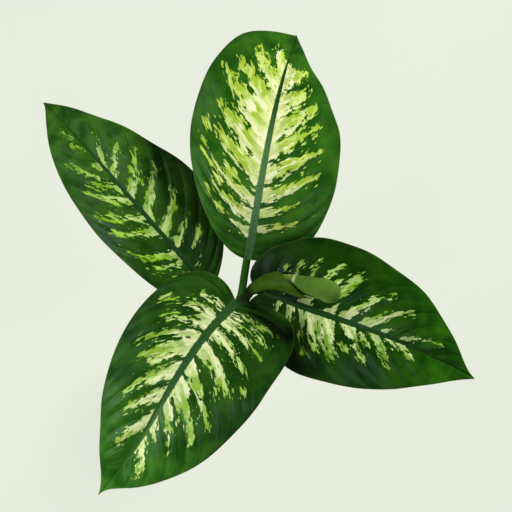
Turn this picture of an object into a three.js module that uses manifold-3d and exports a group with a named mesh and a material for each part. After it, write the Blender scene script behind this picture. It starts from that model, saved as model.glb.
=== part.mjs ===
// A dieffenbachia (dumb cane) in a plain clay pot, in millimetres, with +Z up.
// The origin is the middle of the pot's foot, on the surface that the pot stands on.
// X runs to the right and Y away from a person who looks down on the plant.
//
// The pieces are the pot, its soil, the cane, four grown leaves, and a young leaf
// that is still rolled up in the sheath of its own stalk.
import * as THREE from "three";
import { mergeVertices } from "three/addons/utils/BufferGeometryUtils.js";
import Module from "manifold-3d";

const wasm = await Module();
wasm.setup();

// ---------------------------------------------------------------- driving sizes
const GAP = 0.3;             // clearance between pieces that touch

// Clay pot, a 12 cm "standard": the rim is 120 mm across.
const POT_HEIGHT = 108;
const POT_RIM_RADIUS = 60;
const POT_FOOT_RADIUS = 41;
const POT_WALL = 5;
const POT_FLOOR = 6;
const RIM_BAND = 24;         // height of the thicker collar below the lip
const RIM_STEP = 3.2;        // how far the collar stands out from the wall
const DRAIN_RADIUS = 5;
const DRAIN_CIRCLE = 24;     // the three drain holes stand on this radius
const POT_SIDES = 48;
const FLOOR_FILLET = 3.5;    // slant between the inner wall and the floor

// Soil, filled to a finger's breadth below the lip.
const SOIL_TOP = 97;
const SOIL_RELIEF = 0.8;
const SOIL_SECTORS = 36;
const SOIL_ROUNDS = 9;

// Cane: a bare green stem, leaning a little, ringed where old leaves fell.
const CANE_FOOT = 58;        // height of its cut end, in the soil
const CANE_ROUTE = [[0, 0, CANE_FOOT], [0, 0, 98], [0.5, 1, 150], [2.8, 4.6, 212], [8, 14, 288]];
const CANE_RADIUS_FOOT = 7.6;
const CANE_RADIUS_TOP = 6;
const SCARS = 6;
const FIRST_SCAR = 57;       // measured along the cane from its foot
const SCAR_SPACING = 15;
const SCAR_HEIGHT = 0.7;
const SCAR_FLANK = 1.7;      // the ring rises and falls over this length
const SCAR_CREST = 0.7;      // half the width of its top
const CANE_SIDES = 16;

// Leaves. A half blade is drawn flat, with its base at 0 and its tip at 1 along the
// midrib: peak is where it is widest, back how far its lobe reaches behind the base,
// root how blunt the lobe is, plateauBase and plateauTip how long the wide stretch is,
// taper and hook how the outline runs into the tip. fold is the rise of a half blade from
// the midrib and droop its fall again to the margin. A stalk leaves the cane at its clasp,
// sloping out by spread; bow is how stiffly it holds its way at the cane and at the blade.
const BLADE = 0.9;           // thickness of a blade
const VEIN_ROWS = 28;        // rows of faces from base to tip: every second one is a vein
const REACH_STEPS = 5;       // columns of faces from midrib to margin
const VEIN_SWEEP = 1.9;      // crowds the veins' starts towards the base of the blade
const QUILT = 0.9;           // rise of the blade between two veins
const MARGIN_WAVE = 1.8;     // wave along the margin
const STALK_SIDES = 10;
const STALK_RADIUS = 4.3;
const STALK_STEPS = 14;      // rings along the free stalk, and again along the rib
const RIB_RADIUS = 3.6;      // at the base of the blade
const RIB_RADIUS_TIP = 0.8;
const RIB_END = 0.9;         // the rib fades out at this share of the midrib
const RIB_SINK = 0.2;        // its top lies this far above the middle of the blade's thickness
const CLASP_LENGTH = 15;     // the foot of a stalk hugs the cane over this length
const CLASP_ANGLE = 48;      // and this far to each side, in degrees
const CLASP_THICKNESS = 2.6; // how much thicker its middle is than its edges
const CLASP_EDGE = 0.9;
const CLASP_LIP = 0.2;
const CLASP_EASE = 0.1;      // more room where the cane bends under the clasp

const LEAVES = [
  {
    name: "leaf_left",
    colour: "#1d5a2a",
    clasp: { height: 206, azimuth: 172 },
    bow: [42, 24],
    spread: 0.25,
    midrib: [[-13, 29, 342], [-73, 75, 390], [-114, 136, 376], [-179, 221, 298]],
    left: { width: 45.3, peak: 0.41, back: 0.09, root: 0.83, plateauBase: 0.1, plateauTip: 0.36,
      taper: 0.08, hook: 0.04, fold: 0.3, droop: 0.42 },
    right: { width: 64.4, peak: 0.33, back: -0.02, root: 0.11, plateauBase: 0.26, plateauTip: 0.18,
      taper: 0.17, hook: 0.34, fold: 0.3, droop: 0.4 },
    waves: 4.5,
  },
  {
    name: "leaf_back",
    colour: "#2a6b2c",
    clasp: { height: 224, azimuth: 45 },
    bow: [40, 44],
    spread: 0.5,
    midrib: [[18, 55, 364], [24, 116, 412], [30, 188, 434], [68, 283, 356]],
    left: { width: 73.2, peak: 0.47, back: -0.02, root: 0.47, plateauBase: 0.17, plateauTip: 0.49,
      taper: 0.1, hook: 0.27, fold: 0.3, droop: 0.38 },
    right: { width: 70.6, peak: 0.37, back: -0.01, root: 0.49, plateauBase: 0.32, plateauTip: 0.31,
      taper: 0.32, hook: 0.41, fold: 0.3, droop: 0.38 },
    waves: 5.5,
  },
  {
    name: "leaf_right",
    colour: "#1f5c22",
    clasp: { height: 245, azimuth: -26 },
    bow: [40, 34],
    spread: 0.35,
    midrib: [[30, 18, 398], [96, -17, 428], [127, -12, 420], [242, -53, 345]],
    left: { width: 71.8, peak: 0.2, back: 0.18, root: -0.1, plateauBase: 0.27, plateauTip: 0.5,
      taper: 0.2, hook: 0.14, fold: 0.32, droop: 0.42 },
    right: { width: 57.8, peak: 0.23, back: 0.13, root: 0.58, plateauBase: 0.08, plateauTip: 0.34,
      taper: 0.3, hook: 0.49, fold: 0.32, droop: 0.4 },
    waves: 5,
  },
  {
    name: "leaf_front",
    colour: "#25642c",
    clasp: { height: 263, azimuth: 230 },
    bow: [70, 9],
    spread: 0.6,
    midrib: [[-3, 0, 440], [-66, -61, 478], [-67, -109, 460], [-116, -163, 380]],
    left: { width: 71.3, peak: 0.26, back: 0.26, root: 0.91, plateauBase: 0.3, plateauTip: 0.46,
      taper: 0.16, hook: 0, fold: 0.36, droop: 0.46 },
    right: { width: 58.8, peak: 0.26, back: 0.07, root: 0.69, plateauBase: 0.19, plateauTip: 0.38,
      taper: 0.13, hook: 0.11, fold: 0.36, droop: 0.46 },
    waves: 5,
  },
];

// Young leaf: a stalk stands on top of the cane and opens into a hood, a thin sheath cut
// off at a slant. The blade inside is still rolled up; its end nods over the hood's lip.
// Each row is a place on the common axis, the hood's radius and the roll's radius there.
const YOUNG_STALK_BEND = [8.4, 12.8, 335];
const YOUNG_STALK_STEPS = 12;
const YOUNG_AXIS = [
  { at: [10.9, 11.9, 395], hood: 4.4, roll: 2.9 },
  { at: [12.3, 14.1, 418], hood: 4.4, roll: 2.9 },
  { at: [16.8, 16.5, 436], hood: 5, roll: 3.4 },
  { at: [23.4, 18.3, 448], hood: 6.4, roll: 4.4 },
  { at: [31.8, 17.8, 456], hood: 7.9, roll: 5.8 },
  { at: [41.4, 16.3, 461], hood: 8.8, roll: 7.2 },
  { at: [50.4, 14.1, 464], hood: 9.4, roll: 8 },
  { at: [59.6, 11.8, 466], hood: 10, roll: 8.8 },
  { at: [68.3, 10, 466], hood: 10, roll: 9.6 },
  { at: [74.4, 8.7, 462], hood: 10, roll: 11 },
  { at: [79.3, 8.1, 453], hood: 10, roll: 9.4 },
  { at: [82.5, 8.6, 437], hood: 10, roll: 0.7 },
];
const HOOD_START = 1;        // rows of YOUNG_AXIS that the hood covers
const HOOD_END = 7.2;
const HOOD_WALL = 1;
const HOOD_ROWS = 20;
const HOOD_COLUMNS = 10;
const ROLL_START = 1.5;
const ROLL_STEP = 1;         // height of the seam where the rolled blade laps over itself
const ROLL_ROWS = 22;
const ROLL_SIDES = 18;
const SEAM_ANGLE = 100;      // where the seam runs, round the axis from its back

// ---------------------------------------------------------------- small tools
const vec = (p) => new THREE.Vector3(...p);
const radians = THREE.MathUtils.degToRad;
const lerp = THREE.MathUtils.lerp;
const smooth = THREE.MathUtils.smoothstep;

// An indexed geometry from points and triangles: equal points become one, and
// triangles that have shrunk to a line are dropped.
function surface(points, triangles) {
  const raw = new THREE.BufferGeometry();
  raw.setAttribute("position", new THREE.Float32BufferAttribute(points.flatMap((p) => [p.x, p.y, p.z]), 3));
  raw.setIndex(triangles.flat());
  const merged = mergeVertices(raw, 1e-3);
  const index = merged.index.array;
  const kept = [];
  for (let i = 0; i < index.length; i += 3) {
    const [a, b, c] = [index[i], index[i + 1], index[i + 2]];
    if (a !== b && b !== c && c !== a) kept.push(a, b, c);
  }
  merged.setIndex(kept);
  return merged;
}

// The faces of a grid of rows by columns, as pairs of triangles.
function gridFaces(rows, columns, closed = false) {
  const faces = [];
  const width = closed ? columns : columns + 1;
  for (let i = 0; i < rows; i++) {
    for (let j = 0; j < columns; j++) {
      const k = closed ? (j + 1) % columns : j + 1;
      const [a, b, c, d] = [i * width + j, i * width + k, (i + 1) * width + k, (i + 1) * width + j];
      faces.push([a, b, c], [a, c, d]);
    }
  }
  return faces;
}

// A solid between cross-sections, each a ring of an even number of points. Each end is
// closed by strips between the ring's first half and its second, so it may be a crescent.
function loft(rings) {
  const sides = rings[0].length;
  const faces = gridFaces(rings.length - 1, sides, true);
  const last = (rings.length - 1) * sides;
  for (let j = 0; j < sides / 2 - 1; j++) {
    const [a, b, c, d] = [j, j + 1, sides - 2 - j, sides - 1 - j];
    faces.push([a, c, b], [a, d, c], [last + a, last + b, last + c], [last + a, last + c, last + d]);
  }
  return surface(rings.flat(), faces);
}

// A sheet becomes a solid of even thickness: both faces share the same diagonals,
// and a band of faces closes it along its free edges.
function thicken(sheet, thickness) {
  sheet.computeVertexNormals();
  const place = sheet.attributes.position;
  const normal = sheet.attributes.normal;
  const index = sheet.index.array;
  const count = place.count;
  const points = [];
  for (const side of [0.5, -0.5]) {
    for (let i = 0; i < count; i++) {
      const n = new THREE.Vector3().fromBufferAttribute(normal, i);
      points.push(new THREE.Vector3().fromBufferAttribute(place, i).addScaledVector(n, side * thickness));
    }
  }
  const faces = [];
  const edges = new Set();
  for (let i = 0; i < index.length; i += 3) {
    const corner = [index[i], index[i + 1], index[i + 2]];
    faces.push(corner, [corner[0] + count, corner[2] + count, corner[1] + count]);
    corner.forEach((a, k) => edges.add(`${a},${corner[(k + 1) % 3]}`));
  }
  for (const edge of edges) {
    const [a, b] = edge.split(",").map(Number);
    if (!edges.has(`${b},${a}`)) faces.push([b, a, a + count], [b, a + count, b + count]);
  }
  return surface(points, faces);
}

// To and from the solids that can be joined and cut.
function solid(geometry) {
  const plain = geometry.clone();
  plain.deleteAttribute("normal");
  plain.deleteAttribute("uv");
  const merged = mergeVertices(plain, 1e-4);
  return new wasm.Manifold(new wasm.Mesh({
    numProp: 3,
    vertProperties: Float32Array.from(merged.attributes.position.array),
    triVerts: Uint32Array.from(merged.index.array),
  }));
}

function geometryOf(body) {
  const mesh = body.getMesh();
  const geometry = new THREE.BufferGeometry();
  geometry.setAttribute("position", new THREE.BufferAttribute(Float32Array.from(mesh.vertProperties), 3));
  geometry.setIndex(new THREE.BufferAttribute(Uint32Array.from(mesh.triVerts), 1));
  return geometry;
}

const plant = new THREE.Group();

function addPiece(name, geometry, colour, roughness) {
  const material = new THREE.MeshStandardMaterial({ color: colour, roughness, metalness: 0 });
  const mesh = new THREE.Mesh(geometry, material);
  mesh.name = name;
  plant.add(mesh);
}

// ---------------------------------------------------------------- pot and soil
// A lathe turns about Y, so its profile is stood up to turn about Z.
function turned(profile, sides) {
  const shape = new THREE.LatheGeometry(profile.map(([r, z]) => new THREE.Vector2(r, z)), sides);
  shape.rotateX(Math.PI / 2);
  return shape;
}

// Radius of the pot's outer wall at a height, without the collar.
const potOutside = (z) => lerp(POT_FOOT_RADIUS, POT_RIM_RADIUS - RIM_STEP, z / POT_HEIGHT);
const potInside = (z) => potOutside(z) - POT_WALL;

function makePot() {
  const collar = POT_HEIGHT - RIM_BAND;
  const profile = [
    [0, 0],
    [POT_FOOT_RADIUS - 1.5, 0],
    [potOutside(1.5), 1.5],
    [potOutside(collar - 3), collar - 3],
    [potOutside(collar) + 0.8, collar - 0.6],
    [POT_RIM_RADIUS - 1.6, collar + 0.4],
    [POT_RIM_RADIUS - 0.6, collar + 2],
    [POT_RIM_RADIUS, POT_HEIGHT - 3],
    [POT_RIM_RADIUS - 0.8, POT_HEIGHT - 0.9],
    [POT_RIM_RADIUS - 2.6, POT_HEIGHT],
    [POT_RIM_RADIUS - 5.4, POT_HEIGHT],
    [POT_RIM_RADIUS - 7, POT_HEIGHT - 1.2],
    [potInside(POT_HEIGHT - 4), POT_HEIGHT - 4],
    [potInside(POT_FLOOR + FLOOR_FILLET), POT_FLOOR + FLOOR_FILLET],
    [potInside(POT_FLOOR) - FLOOR_FILLET, POT_FLOOR],
    [0, POT_FLOOR],
  ];
  let pot = solid(turned(profile, POT_SIDES));
  for (let k = 0; k < 3; k++) {
    const angle = radians(90 + 120 * k);
    const drain = new THREE.CylinderGeometry(DRAIN_RADIUS, DRAIN_RADIUS, POT_FLOOR * 3, 16);
    drain.rotateX(Math.PI / 2);
    drain.translate(DRAIN_CIRCLE * Math.cos(angle), DRAIN_CIRCLE * Math.sin(angle), 0);
    pot = pot.subtract(solid(drain));
  }
  return geometryOf(pot);
}

// Crumbs and hollows of the soil's top, as a sum of crossed waves.
function soilHeight(x, y) {
  const rough = Math.sin(0.31 * x + 0.9) * Math.cos(0.27 * y - 0.4) + 0.6 * Math.sin(0.55 * y + 0.23 * x + 2)
    + 0.5 * Math.cos(0.7 * x - 0.5 * y);
  return SOIL_TOP + SOIL_RELIEF * rough;
}

// The soil fills the pot's taper; its top is drawn in rounds from the wall to the middle,
// and the cane stands in a plain hole.
function makeSoil() {
  const ease = 1.5 * GAP;
  const brim = potInside(SOIL_TOP) - ease;
  const rings = [
    [potInside(POT_FLOOR) - FLOOR_FILLET - ease, () => POT_FLOOR + GAP],
    [potInside(POT_FLOOR + FLOOR_FILLET) - ease, () => POT_FLOOR + FLOOR_FILLET + GAP],
    [brim, () => SOIL_TOP],
  ];
  for (let i = 1; i <= SOIL_ROUNDS; i++) {
    rings.push([brim * (1 - i / (SOIL_ROUNDS + 1)), soilHeight]);
  }
  const soil = loft(rings.map(([r, height]) => Array.from({ length: SOIL_SECTORS }, (_, j) => {
    const angle = 2 * Math.PI * j / SOIL_SECTORS;
    const [x, y] = [r * Math.cos(angle), r * Math.sin(angle)];
    return new THREE.Vector3(x, y, height(x, y));
  })));
  const holeRadius = CANE_RADIUS_FOOT + 2 * GAP;
  const depth = SOIL_TOP - CANE_FOOT + GAP;
  const hole = new THREE.CylinderGeometry(holeRadius, holeRadius, 2 * depth, CANE_SIDES);
  hole.rotateX(Math.PI / 2);
  hole.translate(0, 0, CANE_FOOT - GAP + depth);
  return geometryOf(solid(soil).subtract(solid(hole)));
}

// ---------------------------------------------------------------- cane
const caneAxis = new THREE.CatmullRomCurve3(CANE_ROUTE.map(vec), false, "centripetal");
caneAxis.arcLengthDivisions = 400;
const caneLength = caneAxis.getLength();

// Place along the cane, from 0 at its foot to 1 at its top, that lies at a height.
function caneAt(height) {
  let [low, high] = [0, 1];
  for (let i = 0; i < 30; i++) {
    const middle = (low + high) / 2;
    if (caneAxis.getPointAt(middle).z < height) low = middle;
    else high = middle;
  }
  return low;
}

const caneRadius = (u) => lerp(CANE_RADIUS_FOOT, CANE_RADIUS_TOP, u);

// Two directions across a tangent: the first leans towards a wanted direction.
function across(tangent, wanted) {
  const first = wanted.clone().addScaledVector(tangent, -wanted.dot(tangent)).normalize();
  const second = new THREE.Vector3().crossVectors(tangent, first);
  return [first, second];
}

function ringAt(centre, first, second, radius, sides) {
  return Array.from({ length: sides }, (_, j) => {
    const angle = 2 * Math.PI * j / sides;
    return centre.clone().addScaledVector(first, radius * Math.cos(angle))
      .addScaledVector(second, radius * Math.sin(angle));
  });
}

function makeCane() {
  // Stations along the cane: the distance from its foot and the rise of the ring there.
  const stations = [[0, 0]];
  for (let k = 0; k < SCARS; k++) {
    const at = FIRST_SCAR + k * SCAR_SPACING;
    const foot = SCAR_CREST + SCAR_FLANK;
    stations.push([at - foot, 0], [at - SCAR_CREST, SCAR_HEIGHT]);
    stations.push([at + SCAR_CREST, SCAR_HEIGHT], [at + foot, 0]);
  }
  const bareFrom = stations[stations.length - 1][0];
  const bareSteps = 6;
  for (let k = 1; k <= bareSteps; k++) stations.push([lerp(bareFrom, caneLength, k / bareSteps), 0]);
  return loft(stations.map(([distance, rise]) => {
    const u = distance / caneLength;
    const [first, second] = across(caneAxis.getTangentAt(u), new THREE.Vector3(1, 0, 0));
    return ringAt(caneAxis.getPointAt(u), first, second, caneRadius(u) + rise, CANE_SIDES);
  }));
}

// ---------------------------------------------------------------- leaves
// Half of a blade's outline, laid flat: points (along, across) from base to tip.
function halfOutline(half, length) {
  const { width, peak, back, root, plateauBase, plateauTip, taper, hook } = half;
  const point = (along, out) => new THREE.Vector2(along * length, out * width);
  const path = new THREE.CurvePath();
  const [base, widest, tip] = [point(0, 0), point(peak, 1), point(1, 0)];
  path.add(new THREE.CubicBezierCurve(base, point(-back, root), point(peak - plateauBase, 1), widest));
  path.add(new THREE.CubicBezierCurve(widest, point(peak + plateauTip, 1), point(1 - taper, hook), tip));
  path.arcLengthDivisions = 400;
  return path.getSpacedPoints(VEIN_ROWS);
}

// The frame of a midrib at a distance from its base: place, tangent, right, up.
function midribFrame(midrib, length, along) {
  const u = THREE.MathUtils.clamp(along / length, 0, 1);
  const tangent = midrib.getTangentAt(u);
  const right = new THREE.Vector3().crossVectors(tangent, new THREE.Vector3(0, 0, 1)).normalize();
  const up = new THREE.Vector3().crossVectors(right, tangent);
  const place = midrib.getPointAt(u).addScaledVector(tangent, along - u * length);
  return { place, tangent, right, up };
}

// One half of a blade as a sheet. A row follows a side vein: it leaves the midrib at a
// slant and bends towards the tip. Each half rises from the midrib like a shallow gutter
// and droops again to its margin; it swells between the veins and waves along the margin.
function halfBlade(leaf, midrib, half, side) {
  const length = midrib.getLength();
  const outline = halfOutline(half, length);
  const points = [];
  outline.forEach((edge, row) => {
    const share = row / VEIN_ROWS;
    const start = new THREE.Vector2(length * share ** VEIN_SWEEP, 0);
    const bend = new THREE.Vector2(lerp(start.x, edge.x, 0.3), edge.y * 0.5);
    const vein = new THREE.QuadraticBezierCurve(start, bend, edge);
    for (let j = 0; j <= REACH_STEPS; j++) {
      const reach = j / REACH_STEPS;
      const flat = vein.getPoint(reach);
      const { place, right, up } = midribFrame(midrib, length, flat.x);
      const out = flat.y / half.width;
      const swell = (row % 2) * QUILT * Math.sin(Math.PI * reach);
      const wave = MARGIN_WAVE * Math.sin(2 * Math.PI * leaf.waves * share + side) * reach ** 3
        * Math.sin(Math.PI * share);
      const rise = half.width * (half.fold * out - half.droop * out * out) + swell + wave;
      points.push(place.addScaledVector(right, side * flat.y).addScaledVector(up, rise));
    }
  });
  const faces = gridFaces(VEIN_ROWS, REACH_STEPS);
  return { points, faces: side > 0 ? faces.map(([a, b, c]) => [a, c, b]) : faces };
}

function makeBlade(leaf, midrib) {
  const left = halfBlade(leaf, midrib, leaf.left, -1);
  const right = halfBlade(leaf, midrib, leaf.right, 1);
  const shift = left.points.length;
  const faces = [...left.faces, ...right.faces.map((face) => face.map((i) => i + shift))];
  return thicken(surface([...left.points, ...right.points], faces), BLADE);
}

// The leaf stalk: its foot is a shallow trough that hugs the cane; it rounds off, bows
// out to the blade, and runs on as the rib below it.
function makeStalk(leaf, midrib) {
  const length = midrib.getLength();
  const half = STALK_SIDES / 2;
  const stepAngle = radians(2 * CLASP_ANGLE / (half - 1));
  const azimuth = radians(leaf.clasp.azimuth);
  const outward = new THREE.Vector3(Math.cos(azimuth), Math.sin(azimuth), 0);
  const hug = (height, thickness) => {
    const u = caneAt(height);
    const [first, second] = across(caneAxis.getTangentAt(u), outward);
    const inner = (caneRadius(u) + GAP + CLASP_EASE) / Math.cos(stepAngle / 2);
    const ring = [];
    for (let j = 0; j < STALK_SIDES; j++) {
      const k = j < half ? j : STALK_SIDES - 1 - j;
      const angle = (k - (half - 1) / 2) * stepAngle;
      const bulge = Math.cos(angle * 90 / CLASP_ANGLE);
      const radius = j < half ? inner + CLASP_EDGE + thickness * bulge : inner;
      ring.push(caneAxis.getPointAt(u).addScaledVector(first, radius * Math.cos(angle))
        .addScaledVector(second, radius * Math.sin(angle)));
    }
    return ring;
  };
  const round = (centre, first, second, radius) => Array.from({ length: STALK_SIDES }, (_, j) => {
    const k = j < half ? j : STALK_SIDES - 1 - j;
    const spread = (k - (half - 1) / 2) * (Math.PI / half);
    const angle = j < half ? spread : Math.PI - spread;
    return centre.clone().addScaledVector(first, radius * Math.cos(angle))
      .addScaledVector(second, radius * Math.sin(angle));
  });

  const { height } = leaf.clasp;
  const rings = [
    hug(height, CLASP_LIP),
    hug(height + CLASP_LENGTH * 0.5, CLASP_THICKNESS * 0.6),
    hug(height + CLASP_LENGTH, CLASP_THICKNESS),
  ];

  // The free stalk, a bow from the top of the clasp to the foot of the midrib.
  const leave = caneAt(height + CLASP_LENGTH + 2 * STALK_RADIUS);
  const caneWay = caneAxis.getTangentAt(leave);
  const offset = caneRadius(leave) + CLASP_EDGE + STALK_RADIUS;
  const start = caneAxis.getPointAt(leave).addScaledVector(across(caneWay, outward)[0], offset);
  const foot = midribFrame(midrib, length, 0);
  const end = foot.place.clone().addScaledVector(foot.up, RIB_SINK - RIB_RADIUS);
  const way = caneWay.clone().addScaledVector(outward, leaf.spread).normalize();
  const bow = new THREE.CubicBezierCurve3(start, start.clone().addScaledVector(way, leaf.bow[0]),
    end.clone().addScaledVector(foot.tangent, -leaf.bow[1]), end);
  let first = outward.clone();
  for (let i = 0; i < STALK_STEPS; i++) {
    const u = i / STALK_STEPS;
    const frame = across(bow.getTangentAt(u), first);
    first = frame[0];
    rings.push(round(bow.getPointAt(u), frame[0], frame[1], lerp(STALK_RADIUS, RIB_RADIUS, u)));
  }

  // The rib: its top lies inside the blade, so that it only shows below.
  for (let i = 0; i <= STALK_STEPS; i++) {
    const share = i / STALK_STEPS;
    const radius = lerp(RIB_RADIUS, RIB_RADIUS_TIP, share ** 0.8);
    const { place, tangent, up } = midribFrame(midrib, length, share * RIB_END * length);
    const frame = across(tangent, first);
    first = frame[0];
    rings.push(round(place.addScaledVector(up, RIB_SINK - radius), frame[0], frame[1], radius));
  }
  return loft(rings);
}

function makeLeaf(leaf) {
  const midrib = new THREE.CubicBezierCurve3(...leaf.midrib.map(vec));
  midrib.arcLengthDivisions = 400;
  return geometryOf(solid(makeBlade(leaf, midrib)).add(solid(makeStalk(leaf, midrib))));
}

// ---------------------------------------------------------------- young leaf
// The axis that the hood and the roll share, and each one's radius along it: a row
// number with a fraction runs smoothly between two rows.
const youngAxis = new THREE.CatmullRomCurve3(YOUNG_AXIS.map((row) => vec(row.at)), false, "centripetal");

function youngFrame(row) {
  const u = row / (YOUNG_AXIS.length - 1);
  const [back, side] = across(youngAxis.getTangent(u), new THREE.Vector3(-1, 0, 1));
  return { centre: youngAxis.getPoint(u), back, side };
}

function youngRadius(row, key) {
  const below = Math.min(Math.floor(row), YOUNG_AXIS.length - 2);
  return lerp(YOUNG_AXIS[below][key], YOUNG_AXIS[below + 1][key], row - below);
}

// The hood's two margins, as angles round the axis from its back: it is almost a closed
// tube at the stalk; towards its point the far margin swings across to the near one.
function hoodMargins(row) {
  const opening = smooth(row, HOOD_START, 4);
  const slant = THREE.MathUtils.clamp((row - 4) / (HOOD_END - 4), 0, 1);
  const near = lerp(lerp(150, 112, opening), 98, slant);
  const far = lerp(lerp(-150, -100, opening), 96, slant ** 0.62);
  return [radians(far), radians(near)];
}

function makeHood() {
  const points = [];
  for (let i = 0; i <= HOOD_ROWS; i++) {
    const row = lerp(HOOD_START, HOOD_END, i / HOOD_ROWS);
    const { centre, back, side } = youngFrame(row);
    const [far, near] = hoodMargins(row);
    for (let j = 0; j <= HOOD_COLUMNS; j++) {
      const angle = lerp(far, near, j / HOOD_COLUMNS);
      points.push(centre.clone().addScaledVector(back, youngRadius(row, "hood") * Math.cos(angle))
        .addScaledVector(side, youngRadius(row, "hood") * Math.sin(angle)));
    }
  }
  const hood = thicken(surface(points, gridFaces(HOOD_ROWS, HOOD_COLUMNS)), HOOD_WALL);

  // The stalk starts square on the cane's top.
  const caneWay = caneAxis.getTangentAt(1);
  const foot = caneAxis.getPointAt(1).addScaledVector(caneWay, GAP);
  const route = [foot, foot.clone().addScaledVector(caneWay, 8), vec(YOUNG_STALK_BEND)];
  const stalk = new THREE.CatmullRomCurve3([...route, vec(YOUNG_AXIS[0].at), vec(YOUNG_AXIS[1].at)], false,
    "centripetal");
  const rings = [];
  for (let i = 0; i <= YOUNG_STALK_STEPS; i++) {
    const u = i / YOUNG_STALK_STEPS;
    const way = i === 0 ? caneWay : stalk.getTangentAt(u);
    const [first, second] = across(way, new THREE.Vector3(-1, 0, 1));
    const radius = lerp(CANE_RADIUS_TOP - 0.4, YOUNG_AXIS[0].hood, u ** 0.5);
    rings.push(ringAt(stalk.getPointAt(u), first, second, radius, STALK_SIDES));
  }
  for (const row of [HOOD_START + 0.15, HOOD_START + 0.4]) {
    const { centre, back, side } = youngFrame(row);
    rings.push(ringAt(centre, back, side, youngRadius(row, "hood"), STALK_SIDES));
  }
  return geometryOf(solid(hood).add(solid(loft(rings))));
}

// The roll: its section is one turn of a spiral, so that a seam runs down its side.
function makeRoll() {
  const rings = [];
  for (let i = 0; i <= ROLL_ROWS; i++) {
    const row = lerp(ROLL_START, YOUNG_AXIS.length - 1, i / ROLL_ROWS);
    const { centre, back, side } = youngFrame(row);
    const radius = youngRadius(row, "roll");
    const step = Math.min(ROLL_STEP, radius * 0.15);
    rings.push(Array.from({ length: ROLL_SIDES }, (_, j) => {
      const angle = radians(SEAM_ANGLE) + 2 * Math.PI * j / (ROLL_SIDES - 0.2);
      const reach = radius - step * j / (ROLL_SIDES - 1);
      return centre.clone().addScaledVector(back, reach * Math.cos(angle))
        .addScaledVector(side, reach * Math.sin(angle));
    }));
  }
  return loft(rings);
}

addPiece("pot", makePot(), "#b5683f", 0.85);
addPiece("soil", makeSoil(), "#3a2a1e", 0.95);
addPiece("cane", makeCane(), "#5f7f3a", 0.6);
for (const leaf of LEAVES) addPiece(leaf.name, makeLeaf(leaf), leaf.colour, 0.4);
addPiece("young_leaf_hood", makeHood(), "#4c6420", 0.5);
addPiece("young_leaf_roll", makeRoll(), "#5f8f3c", 0.45);

export default plant;
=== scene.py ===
"""A dumb cane in a plain clay pot: the visible surfaces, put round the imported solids.

Sizes are in millimetres and turned into metres where a mesh is made. +Z is up, X runs to
the right and Y away from a person who looks down on the plant.
"""

import bmesh
import bpy
import numpy as np
from mathutils import Matrix, Vector


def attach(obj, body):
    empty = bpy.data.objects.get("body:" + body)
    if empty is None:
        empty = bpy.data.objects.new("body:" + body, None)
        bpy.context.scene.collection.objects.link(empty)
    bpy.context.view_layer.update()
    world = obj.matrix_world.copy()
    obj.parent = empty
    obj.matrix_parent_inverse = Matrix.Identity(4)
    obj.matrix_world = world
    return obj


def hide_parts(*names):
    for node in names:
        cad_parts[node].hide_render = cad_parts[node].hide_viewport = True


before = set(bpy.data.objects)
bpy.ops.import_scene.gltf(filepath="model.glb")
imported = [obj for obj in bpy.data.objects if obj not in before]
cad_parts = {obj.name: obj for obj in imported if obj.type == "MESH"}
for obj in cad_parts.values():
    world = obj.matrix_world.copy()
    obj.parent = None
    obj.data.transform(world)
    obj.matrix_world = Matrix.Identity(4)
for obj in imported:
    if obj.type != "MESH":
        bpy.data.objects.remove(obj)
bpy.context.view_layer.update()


# ---------------- floor, light and camera
# The plant stands on a pale seamless sheet that curves up into a wall all round. Two soft
# lamps face each other across it, one low behind it to the right and one in front to the
# left. Three weak ones add nothing but sheen, and the sky is dim and a little blue.
MM = 0.001
COVE_FLAT, COVE_BEND, COVE_WALL, COVE_SIDES = 2000, 900, 3000, 64
COVE_COLOUR = (0.80, 0.84, 0.725)
COVE_GLOW = 0.86             # share of the sheet's brightness that doesn't depend on the lamps
SKY_COLOUR, SKY_LIGHT = (0.75, 0.87, 1.0, 1), 0.032
SUBJECT = Vector((0.024, 0.055, 0.378))
LAMP_AWAY = 1.8
SHEEN_COLOUR = (0.80, 0.94, 1.0)
CAMERA_AWAY, CAMERA_LENS, CAMERA_SENSOR = 1.125, 85, 36
CAMERA_TURN, CAMERA_HEIGHT = np.radians(36), np.radians(76)


def full_turn(sides):
    """The angles of so many equal steps once round."""
    return np.linspace(0, 2 * np.pi, sides, endpoint=False)


def turned(profile, sides):
    """A profile of (radius r, height z) carried round Z: (r cos a, r sin a, z) for each angle a."""
    angle = full_turn(sides)
    r, z = profile[:, :1], profile[:, 1:]
    return np.stack([r * np.cos(angle), r * np.sin(angle), z + 0 * angle], -1)


def cells(rows, columns, closed=False):
    """Two triangles for each cell of a grid of points in row order. When closed, the last
    column joins the first."""
    width = columns if closed else columns + 1
    i, j = np.meshgrid(np.arange(rows), np.arange(columns), indexing="ij")
    k = (j + 1) % width
    a, b, c, d = i * width + j, i * width + k, (i + 1) * width + k, (i + 1) * width + j
    return np.stack([a, b, c, a, c, d], -1).reshape(-1, 3)


def merged(points, triangles):
    """Points in one place count as one: gives each place's first point, each point's place,
    and the triangles that have three places."""
    _, first, place = np.unique(np.round(points, 4), axis=0, return_index=True, return_inverse=True)
    place = place.reshape(-1)
    a, b, c = place[triangles].T
    return first, place, triangles[(a != b) & (b != c) & (c != a)]


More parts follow.
